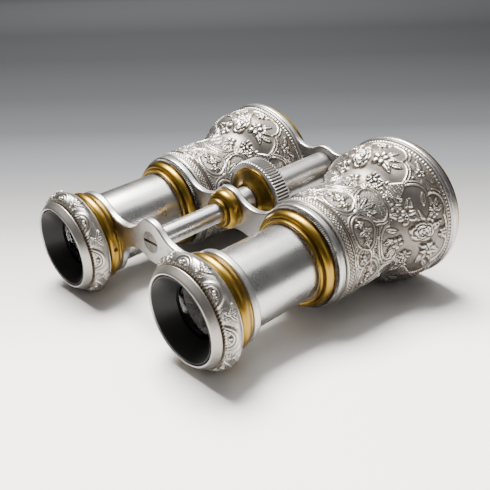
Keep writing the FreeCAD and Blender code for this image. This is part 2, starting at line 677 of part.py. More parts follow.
def counterbore(body, station, radius, depth, towards_front):
    """A wider recess round the boss hole, for a screw head or a tube end."""
    sketch = sketch_on(body, "XZ_Plane", body.Label + ("_front" if towards_front else "_back"),
                       "-(%s)" % station)
    spot = FreeCAD.Vector(0, value_of("centre_height"), 0)
    index = sketch.addGeometry(Part.Circle(spot, FreeCAD.Vector(0, 0, 1), value_of(radius)), False)
    pin_point(sketch, index, 3, "0", "centre_height")
    dimension(sketch, "Radius", index, radius)
    pocket = body.newObject("PartDesign::Pocket", sketch.Name + "_recess")
    pocket.Profile = sketch
    pocket.setExpression("Length", bound(depth))
    pocket.Reversed = not towards_front
    body.Tip = pocket
    doc.recompute()


# ---------------------------------------------------------------- focusing gear

SLIDER_START = BRIDGE_BACK + " - slider_seat"
SLIDER_END = COLLAR_FRONT + " + slider_inner_end"


def slider():
    """Bright tube from the eyepiece bridge into the focusing gear, with its plug, nut and screw."""
    plug_radius = SLIDER_BORE + " - seat_gap"
    head_face = BRIDGE_FRONT + " + end_gap / 2"
    head_back = head_face + " + screw_head_length"
    tube("slider_tube", ON_CENTRE, "slider_radius", SLIDER_BORE, SLIDER_START, SLIDER_END)
    tube("slider_plug", ON_CENTRE, plug_radius, "screw_radius + seat_gap",
         SLIDER_START, SLIDER_START + " + slider_plug_length")
    tube("drive_nut", ON_CENTRE, plug_radius, LEAD_SCREW + " + running_gap",
         SLIDER_END + " - nut_length", SLIDER_END)
    body = turned("bridge_screw", ON_CENTRE, [
        ("0", head_face),
        ("screw_head_radius", head_face),
        ("screw_head_radius", head_back),
        ("screw_radius", head_back),
        ("screw_radius", head_back + " + screw_reach"),
        ("0", head_back + " + screw_reach"),
    ])
    cut_slot(body, head_face, "slot_width", "screw_head_radius * 1.1")


def centre_guides():
    """Small brass collar in front of the mid bridge, and the fixed sleeve behind it."""
    lip_end = COLLAR_FRONT + " + guide_lip_length"
    step_end = lip_end + " + guide_step_length"
    lip = SLIDER_HOLE + " + collar_lip_wall"
    crest = SLIDER_HOLE + " + collar_crest_wall - groove_depth / 2"
    turned("centre_collar", ON_CENTRE, [
        (SLIDER_HOLE, COLLAR_FRONT),
        (lip, COLLAR_FRONT),
        (lip, lip_end),
        (lip + " - groove_depth / 3", lip_end),
        (lip + " - groove_depth / 3", step_end),
        (lip + " + groove_depth", step_end, (COLLAR_BEAD, 1)),
        (crest, KNURL_FRONT),
        (crest, MID_FRONT),
        (COLLAR_SPIGOT, MID_FRONT),
        (COLLAR_SPIGOT, MID_BACK),
        (SLIDER_HOLE, MID_BACK),
    ])
    tube("centre_sleeve", ON_CENTRE, CENTRE_SLEEVE, SLIDER_HOLE, MID_BACK,
         MID_BACK + " + sleeve_length")


def focus_wheel():
    """Ribbed rim on a brass hub, with a flared brass dome that faces the eyepieces."""
    bearing = CENTRE_SLEEVE + " + running_gap"
    turned("wheel_rim", ON_CENTRE, [
        (HUB_RADIUS + " + seat_gap", WHEEL_FRONT),
        ("wheel_radius - wheel_chamfer", WHEEL_FRONT),
        ("wheel_radius", WHEEL_FRONT + " + wheel_chamfer"),
        ("wheel_radius", WHEEL_BACK + " - wheel_chamfer"),
        ("wheel_radius - wheel_chamfer", WHEEL_BACK),
        (HUB_RADIUS + " + seat_gap", WHEEL_BACK),
    ])
    bearing_end = MID_BACK + " + sleeve_length + end_gap"
    turned("wheel_hub", ON_CENTRE, [
        (bearing, WHEEL_FRONT),
        (HUB_RADIUS, WHEEL_FRONT),
        (HUB_RADIUS, WHEEL_BACK),
        (CENTRE_TUBE_BORE, WHEEL_BACK),
        (CENTRE_TUBE_BORE, bearing_end),
        (bearing, bearing_end),
    ])
    dome_front = WHEEL_FRONT + " - dome_height"
    mouth = CENTRE_SLEEVE + " + dome_mouth_gap"
    turned("wheel_dome", ON_CENTRE, [
        (mouth, dome_front),
        (mouth + " + dome_lip", dome_front, ("dome_height * 2.2", -1)),
        ("dome_radius", WHEEL_FRONT + " - dome_edge"),
        ("dome_radius", WHEEL_FRONT),
        (mouth, WHEEL_FRONT),
    ])


def centre_shaft():
    """Turning tube with the lead screw inside it, its end plug and journal, and the pivot screw."""
    tube_end = FRONT_BACK + " - end_gap"
    plug_start = tube_end + " - plug_length"
    journal_end = FRONT_FACE + " + end_gap / 2"
    washer_end = journal_end + " + washer_thickness"
    head_end = washer_end + " + pivot_head_length"
    shank_end = journal_end + " - pivot_screw_reach"
    tube("centre_tube", ON_CENTRE, CENTRE_TUBE, CENTRE_TUBE_BORE, WHEEL_BACK, tube_end)
    turned("tube_plug", ON_CENTRE, [
        ("0", plug_start),
        (CENTRE_TUBE_BORE + " - seat_gap", plug_start),
        (CENTRE_TUBE_BORE + " - seat_gap", tube_end),
        ("journal_radius", tube_end),
        ("journal_radius", journal_end),
        ("pivot_screw_radius + seat_gap", journal_end),
        ("pivot_screw_radius + seat_gap", shank_end),
        ("0", shank_end),
    ])
    turned("lead_screw", ON_CENTRE, [
        ("0", COLLAR_FRONT + " + lead_screw_reach"),
        (LEAD_SCREW, COLLAR_FRONT + " + lead_screw_reach"),
        (LEAD_SCREW, plug_start),
        ("0", plug_start),
    ])
    tube("front_bush", ON_CENTRE, "journal_radius + running_gap + bush_wall",
         "journal_radius + running_gap", FRONT_BACK, FRONT_FACE)
    tube("pivot_washer", ON_CENTRE, "pivot_head_radius", "pivot_screw_radius + seat_gap",
         journal_end, washer_end)
    screw = turned("pivot_screw", ON_CENTRE, [
        ("0", shank_end),
        ("pivot_screw_radius", shank_end),
        ("pivot_screw_radius", washer_end),
        ("pivot_head_radius", washer_end),
        ("pivot_head_radius", head_end),
        ("0", head_end),
    ])
    slot = cut_slot(screw, head_end, "slot_width", "pivot_head_radius * 1.1")
    slot.Reversed = True


def build():
    for tag, axis in SIDES:
        for make in (eyecup_rim, eyecup, eyepiece_ring, eyepiece_optics, draw_tube, guide_collar,
                     barrel, objective):
            make(tag, axis)
    eyepiece = bridge("eyepiece_bridge", "draw_tube_radius + eyepiece_ring_width", "eyepiece_boss",
                      "eyepiece_upper_waist", "eyepiece_lower_waist", BRIDGE_FRONT,
                      "eyepiece_bridge_thickness", TUBE_SEAT, "screw_radius + seat_gap")
    counterbore(eyepiece, BRIDGE_FRONT, "screw_head_radius + seat_gap",
                "screw_head_length + end_gap / 2", True)
    counterbore(eyepiece, BRIDGE_BACK, "slider_radius + seat_gap", "slider_seat", False)
    bridge("mid_bridge", GUIDE_SLEEVE + " + mid_ring_width", "mid_boss", "mid_upper_waist",
           "mid_lower_waist", MID_FRONT, "mid_bridge_thickness", GUIDE_SLEEVE + " + seat_gap",
           COLLAR_SPIGOT + " + seat_gap")
    bridge("front_bridge", FRONT_RING, "front_boss", "front_upper_waist", "front_lower_waist",
           FRONT_BACK, "front_bridge_thickness", CELL_OUTER + " + seat_gap",
           "journal_radius + running_gap + bush_wall + seat_gap")
    slider()
    centre_guides()
    focus_wheel()
    centre_shaft()


def lowest(label):
    """Lowest height that the piece with this label reaches."""
    return next(body.Shape.optimalBoundingBox(False).ZMin for body, _axis in placed if body.Label == label)


def set_size(name, value):
    sheet.set("B%d" % (NAMES.index(name) + 1), "%.6f" % value)
    doc.recompute()


def stand_up():
    """Tip the object until it rests on its eyecup rims and front rings, and centre it on the origin."""
    rise = value_of("(%s) - (%s)" % (FRONT_RING, BAND_RADIUS))
    run = value_of("(%s) - band_crest" % FRONT_FACE)
    for name in ("tilt", "shift_along", "shift_up"):
        add_size(name, "0")
    set_size("tilt", math.degrees(math.atan2(rise, run)))
    for body, (side, up) in placed:
        body.Placement.Rotation = FreeCAD.Rotation(FreeCAD.Vector(1, 0, 0), value_of("tilt"))
        body.setExpression("Placement.Rotation.Angle", bound("tilt"))
        body.setExpression("Placement.Base.x", bound("%d * axis_spacing / 2" % side))
        body.setExpression("Placement.Base.y", bound("shift_along - %s * sin(tilt * 1 deg)" % up))
        body.setExpression("Placement.Base.z", bound("shift_up + %s * cos(tilt * 1 deg)" % up))
    doc.recompute()
    step = math.atan2(lowest("eyecup_rim_R") - lowest("front_bridge"), run)
    set_size("tilt", value_of("tilt") + math.degrees(step))
    boxes = [body.Shape.optimalBoundingBox(False) for body, _axis in placed]
    set_size("shift_along", -(min(box.YMin for box in boxes) + max(box.YMax for box in boxes)) / 2)
    set_size("shift_up", -min(box.ZMin for box in boxes))


def check_and_export():
    """Stop on any failed feature or bad shape, then write one file per piece."""
    for item in doc.Objects:
        if "Invalid" in item.State or "Error" in item.State:
            raise RuntimeError("%s failed: %s" % (item.Label, item.State))
    for body, _axis in placed:
        if body.Shape.isNull() or not body.Shape.isValid() or len(body.Shape.Solids) != 1:
            raise RuntimeError("%s is not one valid solid" % body.Label)
    for body, _axis in placed:
        body.Shape.exportStep("parts/%s.step" % body.Label)
    boxes = [body.Shape.optimalBoundingBox(False) for body, _axis in placed]
    size = [max(getattr(b, k + "Max") for b in boxes) - min(getattr(b, k + "Min") for b in boxes)
            for k in "XYZ"]
    print("%d pieces, %.1f x %.1f x %.1f mm" % (len(placed), size[0], size[1], size[2]))


build()
stand_up()
check_and_export()
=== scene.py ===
# %% [markdown]
# # A pair of embossed opera glasses
#
# The glasses are two flared barrels of chased silvery metal, joined by three polished bridges. Bright draw
# tubes slide out of them in brass collars, and a ribbed wheel in the middle moves both tubes at once. The
# engineering model already holds every piece at its right size and place. This lesson loads that model, keeps
# each piece whose shape is right, and makes a finer one where the real piece is ribbed, milled or chased.

# %% Load the frame
import json
from math import atan, cos, degrees, pi, radians, sin

import bmesh
import bpy
import numpy as np
from mathutils import Matrix, Vector


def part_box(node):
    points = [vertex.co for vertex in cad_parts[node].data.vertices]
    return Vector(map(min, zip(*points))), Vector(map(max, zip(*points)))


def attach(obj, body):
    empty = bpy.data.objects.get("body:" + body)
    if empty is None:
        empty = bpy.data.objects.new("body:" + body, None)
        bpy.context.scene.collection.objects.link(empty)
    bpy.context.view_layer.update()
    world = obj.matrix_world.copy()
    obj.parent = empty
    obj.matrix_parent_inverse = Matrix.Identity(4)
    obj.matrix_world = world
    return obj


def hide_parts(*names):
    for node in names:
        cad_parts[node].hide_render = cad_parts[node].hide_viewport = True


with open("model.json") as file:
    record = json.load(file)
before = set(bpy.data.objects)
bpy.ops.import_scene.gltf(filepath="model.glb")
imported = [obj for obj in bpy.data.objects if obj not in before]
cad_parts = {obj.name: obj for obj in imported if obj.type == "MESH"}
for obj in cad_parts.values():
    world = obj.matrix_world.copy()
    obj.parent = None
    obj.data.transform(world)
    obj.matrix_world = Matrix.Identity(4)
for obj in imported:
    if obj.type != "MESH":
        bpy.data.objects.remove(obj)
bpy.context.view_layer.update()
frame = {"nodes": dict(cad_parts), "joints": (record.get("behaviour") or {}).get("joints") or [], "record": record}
slots = {node: piece.data.materials[0].name for node, piece in frame["nodes"].items()}
print("pieces in the frame:", len(frame["nodes"]))

# %% [markdown]
# ## Where the axes lie
#
# The glasses rest on the edges of their eyecups and of their front rings, so the optical axes are tilted by a
# few degrees. It is easier to turn a ring about its own axis than to draw it tilted. So every new piece is made
# along a level axis, with its stations counted in millimetres from the front of the eyecups, and then stood in
# place. The direction comes from the wheel's own joint, and the two axes from the openings for the lens caps.

# %% Find the axes
MM = 0.001
spin = next(joint for joint in frame["joints"] if joint["type"] == "hinge")
along = Vector(spin["axis"]).normalized()
across = Vector((1, 0, 0))
upward = across.cross(along)
axis_points = {"centre": Vector(spin["pos_m"])}
for mount in frame["record"]["mounts"]:
    if mount["kind"] == "bore":
        axis_points[mount["name"][-1]] = Vector(mount["pos_m"])
first_station = min(v.co.dot(along) for v in frame["nodes"]["eyecup_rim_R"].data.vertices)


def axis_matrix(axis):
    """Stands a piece that was made along +Y, in millimetres, on one of the three axes."""
    point = axis_points[axis]
    start = point - along * (point.dot(along) - first_station)
    turn = Matrix((across, along, upward)).transposed()
    return Matrix.Translation(start) @ turn.to_4x4() @ Matrix.Scale(MM, 4)


print("axes tilt by %.2f degrees" % degrees(atan(along.z / along.y)))

# %% [markdown]
# ## Reading the outline of a turned piece
#
# A turned piece is one outline swept round its axis. Cutting the frame's piece with a plane through the axis
# gives that outline back as a closed loop. The loop is then filled with closely spaced points and eased a
# little, because a real polished edge is never a perfect corner.

# %% Cut an outline
def outline_of(node, axis):
    """The closed loop of (station, radius) points, in millimetres, that the piece was turned from."""
    cut = bmesh.new()
    cut.from_mesh(frame["nodes"][node].data)
    cut.transform(axis_matrix(axis).inverted())
    bmesh.ops.remove_doubles(cut, verts=cut.verts, dist=0.002)
    found = bmesh.ops.bisect_plane(cut, geom=cut.verts[:] + cut.edges[:] + cut.faces[:], dist=0.0005,
                                   plane_co=(0, 0, 0), plane_no=(1, 0, 0.0131))["geom_cut"]
    links = {}
    for edge in (e for e in found if isinstance(e, bmesh.types.BMEdge)):
        if all(v.co.z > -1e-4 for v in edge.verts):
            a, b = edge.verts
            links.setdefault(a, []).append(b)
            links.setdefault(b, []).append(a)
    loop = [min(links, key=lambda v: (round(v.co.y, 3), -v.co.z))]
    while True:
        ahead = [v for v in links[loop[-1]] if v not in loop]
        if not ahead:
            break
        loop.append(max(ahead, key=lambda v: v.co.z) if len(loop) == 1 else ahead[0])
    points = np.array([(v.co.y, (v.co.x ** 2 + v.co.z ** 2) ** 0.5) for v in loop])
    cut.free()
    return points


def way_round(points):
    """1 for a loop that runs anticlockwise, and -1 for one that runs clockwise."""
    after = np.roll(points, -1, axis=0)
    return np.sign(np.sum(points[:, 0] * after[:, 1] - after[:, 0] * points[:, 1]))


def normals_of(points):
    """The outline's own outward direction at each point, whichever way round it runs."""
    ahead = np.roll(points, -1, axis=0) - np.roll(points, 1, axis=0)
    ahead /= np.maximum(np.hypot(*ahead.T), 1e-9)[:, None]
    return way_round(points) * np.stack([ahead[:, 1], -ahead[:, 0]], 1)


def filled(points, steps):
    """The loop with more points. The steps are one length, or one for each stretch of the loop."""
    made = []
    for here, ahead, step in zip(points, np.roll(points, -1, axis=0), np.broadcast_to(steps, len(points))):
        count = max(1, int(np.ceil(np.hypot(*(ahead - here)) / step)))
        made += [here + (ahead - here) * k / count for k in range(count)]
    return np.array(made)


def eased(points, times, where=True):
    """The loop with its corners rounded, by moving each point towards its neighbours."""
    where = np.broadcast_to(where, len(points))[:, None]
    for _ in range(times):
        moved = points / 2 + (np.roll(points, 1, axis=0) + np.roll(points, -1, axis=0)) / 4
        points = np.where(where, moved, points)
    return points


def outside_of(points):
    """True for each stretch of the loop that faces away from the axis."""
    ahead = np.roll(points, -1, axis=0) - points
    return -way_round(points) * ahead[:, 0] > 0.3 * np.hypot(*ahead.T)


print("outline of the right barrel:", len(outline_of("objective_barrel_R", "R")), "points")

# %% [markdown]
# ## Turning and pressing a piece
#
# One function makes every fine piece. It sweeps the outline round the axis, and where the real piece is pressed
# or milled it pushes each point out along the outline's own normal. The heights come from a function of the
# place on the surface. The depth of each hollow is kept on the mesh, so that a finish can put dirt there.

# %% Sweep an outline
def smooth(value, low, high):
    """0 at low, 1 at high, and a smooth step between."""
    step = np.clip((value - low) / (high - low), 0, 1)
    return step * step * (3 - 2 * step)


def hollows_of(height, reach):
    """How far each place lies below its surroundings: 0 on a crest, towards 1 in a hollow."""
    around = height.copy()
    for _ in range(reach):
        around = around / 2 + (np.roll(around, 1, 1) + np.roll(around, -1, 1)) / 4
        padded = np.pad(around, ((1, 1), (0, 0)), mode="edge")
        around = around / 2 + (padded[2:] + padded[:-2]) / 4
    return around - height


def sweep(name, body, axis, points, columns, height=None, turn=0.0, marks=None, sharp=35):
    """Sweeps a loop of points round an axis, raised by height (rows, columns) where it is given."""
    angles = 2 * pi * np.arange(columns) / columns + turn
    normal = normals_of(points)
    lift = np.zeros((len(points), 1)) if height is None else height
    station = points[:, :1] + normal[:, :1] * lift + 0 * angles
    radius = points[:, 1:] + normal[:, 1:] * lift + 0 * angles
    place = np.stack([radius * np.sin(angles), station, radius * np.cos(angles)], -1).reshape(-1, 3)
    row, column = np.meshgrid(np.arange(len(points)), np.arange(columns), indexing="ij")
    next_row, next_column = (row + 1) % len(points), (column + 1) % columns
    corners = [row * columns + column, row * columns + next_column,
               next_row * columns + next_column, next_row * columns + column]
    faces = np.stack(corners, -1).reshape(-1, 4)
    mesh = bpy.data.meshes.new(name)
    mesh.from_pydata(place.tolist(), [], faces.tolist())
    for mark, values in (marks or {}).items():
        data = mesh.attributes.new(mark, "FLOAT", "POINT").data
        data.foreach_set("value", (values + 0 * angles).astype(np.float32).ravel())
    mesh.transform(axis_matrix(axis))
    facing = bmesh.new()
    facing.from_mesh(mesh)
    bmesh.ops.recalc_face_normals(facing, faces=facing.faces[:])
    facing.to_mesh(mesh)
    facing.free()
    mesh.shade_smooth()
    mesh.set_sharp_from_angle(angle=radians(sharp))
    piece = bpy.data.objects.new(name, mesh)
    bpy.context.scene.collection.objects.link(piece)
    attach(piece, body)
    return piece


def body_of(node):
    """The name of the moving body that a piece of the frame belongs to."""
    bodies = frame["record"]["behaviour"]["bodies"]
    return next(body for body, members in bodies.items() if node in members)


print("the wheel's rim turns with the body", body_of("wheel_rim"))

# %% [markdown]
# ## Shader maths
#
# A finish is a small net of nodes. Written out node by node it is hard to read, so one class wraps a socket and
# lets sums be written as sums. Everything else goes through one method, which takes the kind of node, its
# settings and what goes into its sockets. The sky is made by the same method later on.

# %% Wrap sockets and nodes
class Value:
    """A number inside a net of nodes. Sums written with it add Math nodes."""

    def __init__(self, net, socket):
        self.net, self.socket = net, socket

    def __add__(self, other):
        return self.net.maths("ADD", self, other)

    def __sub__(self, other):
        return self.net.maths("SUBTRACT", self, other)

    def __rsub__(self, other):
        return self.net.maths("SUBTRACT", other, self)

    def __mul__(self, other):
        return self.net.maths("MULTIPLY", self, other)

    __radd__, __rmul__ = __add__, __mul__


class Net:
    """The nodes of one material, or of the sky."""

    def __init__(self, tree):
        self.nodes, self.links = tree.nodes, tree.links

    def node(self, kind, settings=None, sockets=None, output=0):
        made = self.nodes.new("ShaderNode" + kind)
        for key, value in (settings or {}).items():
            if key == "stops":
                while len(made.color_ramp.elements) < len(value):
                    made.color_ramp.elements.new(0.5)
                for stop, (position, colour) in zip(made.color_ramp.elements, value):
                    stop.position, stop.color = position, colour
            else:
                setattr(made, key, value)
        for key, value in (sockets or {}).items():
            self.feed(made.inputs[key], value)
        return Value(self, made.outputs[output])

    def feed(self, socket, value):
        if isinstance(value, Value):
            self.links.new(value.socket, socket)
        else:
            socket.default_value = value

    def maths(self, operation, first, second):
        return self.node("Math", {"operation": operation}, {0: first, 1: second})


print("nets of nodes can be written as sums")

# %% [markdown]
# Every finish then starts from the same shader. What is even all over is set on the shader itself, and what
# changes over the surface is worn on top. Sizes are given in millimetres, as a maker would say them: a cloud of
# haze 6 mm across, or grains 0.75 mm apart.

# %% Describe a finish
class Finish(Net):
    """One material, and the nodes that make it."""

    def __init__(self, name, **even):
        self.name, self.material = name, bpy.data.materials.new("aged_" + name)
        self.material.use_nodes = True
        super().__init__(self.material.node_tree)
        self.shader = self.nodes["Principled BSDF"]
        self.wear(**even)

    def clamped(self, value, low, high):
        """0 below low, 1 above high, and a smooth step between."""
        return self.node("MapRange", {"interpolation_type": "SMOOTHSTEP"},
                         {"Value": value, "From Min": low, "From Max": high})

    def mixed(self, factor, first, second):
        return self.node("Mix", {"data_type": "RGBA"}, {0: factor, 6: first, 7: second}, output=2)

    def mark(self, name):
        return self.node("Attribute", {"attribute_name": name}, output=2)

    def place(self):
        return self.node("TexCoord", output=3)

    def cloud(self, size, detail=3.0, stretch=(1, 1, 1)):
        """Soft noise whose patches are about size millimetres across."""
        place = self.node("Mapping", {}, {"Vector": self.place(), "Scale": stretch})
        return self.node("TexNoise", {}, {"Vector": place, "Scale": 1 / (size * MM), "Detail": detail})

    def grains(self, size):
        """The distance to the nearest of many scattered grains, size millimetres apart."""
        return self.node("TexVoronoi", {}, {"Vector": self.place(), "Scale": 1 / (size * MM)})

    def bump(self, height, depth):
        """A normal bent by height, where a step from 0 to 1 is depth millimetres."""
        return self.node("Bump", {}, {"Height": height, "Distance": depth * MM})

    def wear(self, **sockets):
        """Gives the shader its numbers, or the values that change over the surface."""
        for socket, value in sockets.items():
            self.feed(self.shader.inputs[socket.replace("_", " ")], value)
        return self


def grey(level, tint=(1, 1, 1)):
    return tuple(level * part for part in tint) + (1,)


print("a warm mid grey is", grey(0.5, (1, 0.95, 0.9)))

# %% [markdown]
# ## Polished aluminium
#
# The bridges, the ribbed wheel and the tube behind it are bare polished metal that has been handled for a
# century. Its colour hardly changes, but its gloss does, in soft clouds where fingers have been, and fine
# scratches run along it. The draw tubes are the same metal, with small dark pits scattered over them.

# %% Make the bare metals
def polished_aluminium():
    finish = Finish("polished_aluminium", Metallic=1.0)
    haze = finish.cloud(7, 4)
    fine = finish.cloud(0.5, 2)
    tarnish = finish.clamped(finish.cloud(2.5, 5), 0.56, 0.72) * 0.35 + finish.mark("hollow") * 0.9
    colour = finish.mixed(tarnish, grey(0.45, (1, 0.98, 0.955)), grey(0.13, (1, 0.93, 0.84)))
    scratches = finish.cloud(0.16, 1, (1, 0.05, 1))
    return finish.wear(Base_Color=colour, Roughness=0.25 + haze * 0.10 + fine * 0.05 + tarnish * 0.25,
                       Normal=finish.bump(scratches + fine * 0.5, 0.0007))


def bright_tube():
    finish = Finish("bright_tube", Metallic=1.0)
    haze = finish.cloud(6, 4)
    pits = finish.clamped(finish.grains(0.75), 0.20, 0.10) * finish.clamped(finish.cloud(4, 3), 0.42, 0.62)
    specks = finish.clamped(finish.cloud(0.45, 2), 0.64, 0.74)
    bright, pitted = grey(0.49, (1, 0.985, 0.965)), grey(0.12, (1, 0.95, 0.89))
    colour = finish.mixed(pits * 0.55 + specks * 0.25, bright, pitted)
    return finish.wear(Base_Color=colour, Roughness=0.23 + haze * 0.10 + pits * 0.25,
                       Normal=finish.bump(0 - pits - specks * 0.4, 0.006))


print("bare metals: polished and bright")

# %% [markdown]
# ## Embossed silvery metal
#
# The barrels and the eyecup bands were pressed, blackened and rubbed back. The crests are bright, the open
# ground is a warm grey, and brown has gathered in the hollows. The mesh carries three marks: how deep a place
# lies below its surroundings, how much of it is open ground, and where the ground is stippled with a punch.

# %% Make the embossed finish
def embossed_aluminium():
    finish = Finish("embossed_aluminium", Metallic=1.0)
    hollow, ground, stipple = finish.mark("hollow"), finish.mark("ground"), finish.mark("stipple")
    drift = finish.cloud(5, 4)
    punched = finish.clamped(finish.grains(0.75), 0.40, 0.12) * stipple
    dirt = finish.clamped(hollow + (drift - 0.5) * 0.3 + punched * 0.7 + stipple * 0.12, 0.08, 0.75)
    crest, open_ground = grey(0.40, (1, 0.95, 0.885)), grey(0.165, (1, 0.92, 0.84))
    brown = grey(0.105, (1, 0.80, 0.61))
    base = finish.mixed(ground * (0.60 + drift * 0.7), crest, open_ground)
    colour = finish.mixed(dirt, base, brown)
    fine = finish.cloud(0.35, 3)
    return finish.wear(Base_Color=colour, Roughness=0.31 + ground * 0.10 + dirt * 0.2 + fine * 0.08,
                       Normal=finish.bump(fine * 0.35 - punched, 0.10))


print("the embossed finish reads the marks hollow, ground and stipple")

# %% [markdown]
# ## Gilt brass and dark steel
#
# The collars are brass that was gilt and lacquered. Crests have stayed bright gold, and the grooves have gone
# a greenish brown. The wheel's dome and the centre collar have been handled most, so they take more stain. The
# lens cells behind are plain brass, and the screws and the coin-edged rings are darkened metal.

# %% Make brass and steel
def gilt_brass(name="gilt_brass", age=0.0):
    finish = Finish(name, Metallic=1.0)
    hollow = finish.mark("hollow")
    drift = finish.cloud(5, 5)
    fine = finish.cloud(0.6, 3)
    stain = finish.clamped(hollow * 1.3 + (drift - 0.5) * 1.2 + (fine - 0.5) * 0.3 + age, 0.08, 0.75)
    gold = finish.mixed(finish.cloud(9, 2), (0.30, 0.175, 0.025, 1), (0.23, 0.15, 0.031, 1))
    colour = finish.mixed(stain, gold, (0.065, 0.042, 0.010, 1))
    return finish.wear(Base_Color=colour, Roughness=0.27 + stain * 0.2 + fine * 0.06,
                       Normal=finish.bump(fine, 0.0015))


def plain_brass():
    finish = Finish("plain_brass", Metallic=1.0)
    drift = finish.cloud(2, 4)
    colour = finish.mixed(finish.clamped(drift, 0.4, 0.7), (0.60, 0.44, 0.19, 1), (0.32, 0.22, 0.10, 1))
    return finish.wear(Base_Color=colour, Roughness=0.3 + drift * 0.2, Normal=finish.bump(drift, 0.01))


def dark_metal(name, level):
    finish = Finish(name, Metallic=1.0)
    drift = finish.cloud(0.9, 4)
    colour = finish.mixed(finish.clamped(drift, 0.35, 0.65), grey(level, (1, 0.96, 0.9)),
                          grey(level * 0.6, (1, 0.9, 0.8)))
    return finish.wear(Base_Color=colour, Roughness=0.3 + drift * 0.15, Normal=finish.bump(drift, 0.004))


print("brass and steel: gilt, plain and dark")

# %% [markdown]
# ## Black, felt and glass
#
# The eyecups are turned from black ebonite, which is glossy. The inside of the glasses is painted a dull black so
# that no stray light gets through, and a strip of felt keeps each draw tube from rattling. The frame says which
# finish each piece has, so giving them out is one loop. The eyepiece cells are given the dull black in place of
# their own finish, as painted shade in the dark eyepiece openings.

# %% Make black, felt and glass
def black_ebonite():
    finish = Finish("black_ebonite", Specular_IOR_Level=0.18)
    dust = finish.clamped(finish.cloud(0.3, 2), 0.66, 0.78)
    haze = finish.cloud(4, 3)
    colour = finish.mixed(dust * 0.5 + haze * 0.1, grey(0.003), grey(0.03, (1, 0.95, 0.88)))
    return finish.wear(Base_Color=colour, Roughness=0.30 + haze * 0.14 + dust * 0.3,
                       Normal=finish.bump(finish.cloud(0.8, 2), 0.006))


def black_lacquer():
    finish = Finish("black_lacquer")
    rough = finish.cloud(0.25, 3)
    colour = finish.mixed(rough, grey(0.008), grey(0.025))
    return finish.wear(Base_Color=colour, Roughness=0.6 + rough * 0.25, Normal=finish.bump(rough, 0.02))


def felt():
    finish = Finish("felt", Sheen_Weight=0.4)
    fibre = finish.cloud(0.12, 4)
    colour = finish.mixed(fibre, (0.30, 0.22, 0.13, 1), (0.56, 0.45, 0.30, 1))
    return finish.wear(Base_Color=colour, Roughness=0.85 + fibre * 0.1, Normal=finish.bump(fibre, 0.05))


def lens_glass():
    finish = Finish("lens_glass", Transmission_Weight=1.0, IOR=1.52)
    bloom = finish.cloud(6, 4)
    colour = finish.mixed(bloom, (0.93, 0.97, 0.96, 1), (0.97, 0.96, 0.93, 1))
    return finish.wear(Base_Color=colour, Roughness=0.01 + bloom * 0.03)


finishes = {made.name: made.material for made in (
    polished_aluminium(), bright_tube(), embossed_aluminium(), gilt_brass(), plain_brass(),
    dark_metal("dark_steel", 0.20), dark_metal("dark_knurl", 0.13), black_ebonite(), black_lacquer(), felt(),
    lens_glass())}
finishes["old_brass"] = gilt_brass("old_brass", 0.26).material
for node, piece in frame["nodes"].items():
    # The eyepiece cells get the dull black in place of their frame finish: painted shade for the dark eyepiece
    # openings.
    chosen = "black_lacquer" if node.startswith("ocular_cell") else slots[node]
    piece.material_slots[0].material = finishes[chosen]
print("finishes:", ", ".join(sorted(finishes)))


def replace(piece, node):
    """The piece stands for a piece of the frame, in the same finish."""
    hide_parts(node)
    piece.data.materials.append(finishes[slots[node]])
    return piece


# %% [markdown]
# ## Turned brass rings
#
# The collars and rings are plain turned work, so their outline is swept as it is. What makes them look old is
# the dirt in their grooves. How hollow each place is comes from the outline itself, by comparing it with a
# smoother copy of the same outline. The ring behind each eyecup also has a small screw sunk in its side, so a
# round pit is pressed in over it.

# %% Turn the brass pieces
PIT_DEPTH, PIT_FLOOR, PIT_MOUTH = 1.1, 0.5, 0.75


def pit_over(pin, axis, points, columns):
    """A round pit in the side of a ring, over the small screw that is sunk there."""
    low, high = (axis_matrix(axis).inverted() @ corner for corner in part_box(pin))
    station, side = (low.y + high.y) / 2, np.sign(low.x + high.x)
    angles = 2 * pi * np.arange(columns) / columns
    aside = points[:, 1:] * ((angles - side * pi / 2 + pi) % (2 * pi) - pi)
    away = np.hypot(aside, points[:, :1] - station)
    on_the_outside = points[:, 1:] > points[:, 1].min() + 1.2
    return -PIT_DEPTH * smooth(away, PIT_MOUTH, PIT_FLOOR) * on_the_outside


def turned(node, axis, columns=288, pin=None):
    """A finer copy of one of the frame's turned pieces, marked where its outline is hollow."""
    points = eased(filled(outline_of(node, axis), 0.16), 3)
    hollow = np.sum((eased(points, 50) - points) * normals_of(points), axis=1)
    height = pit_over(pin, axis, points, columns) if pin else None
    piece = sweep(node + "_turned", body_of(node), axis, points, columns, height,
                  marks={"hollow": np.clip(hollow / 0.12, -0.3, 1)[:, None]})
    return replace(piece, node)


for side in "LR":
    turned("eyepiece_ring_" + side, side, columns=480, pin="grub_screw_" + side)
    turned("guide_collar_" + side, side)
for node in ("centre_collar", "wheel_dome"):
    turned(node, "centre", columns=192).data.materials[0] = finishes["old_brass"]
print("turned the brass rings")

# %% [markdown]
# ## Ribs and milling
#
# The wheel's rim has straight ribs to grip, each one rounded by wear. The thin dark rings behind the collars
# have a finer coin edge. Both are the same idea: a wave round the piece, cut in below the frame's own size and
# faded out towards the edges of the band, so that the piece still fits where it did.

# %% Cut the ribs
def milled(node, axis, ribs, depth, steps):
    """A finer copy of a turned piece, with ribs cut into the band near its largest radius."""
    loop = outline_of(node, axis)
    largest = loop[:, 1].max()
    points = eased(filled(loop, 0.14), 3)
    near_top = np.clip((points[:, 1:] - (largest - 0.45)) / 0.3, 0, 1)
    facing_out = np.clip(normals_of(points)[:, 1:] * 2 - 0.9, 0, 1)
    angles = 2 * pi * np.arange(ribs * steps) / (ribs * steps)
    groove = near_top * facing_out * (0.5 - 0.5 * np.cos(ribs * angles))
    piece = sweep(node + "_milled", body_of(node), axis, points, ribs * steps, -depth * groove,
                  marks={"hollow": groove})
    return replace(piece, node)


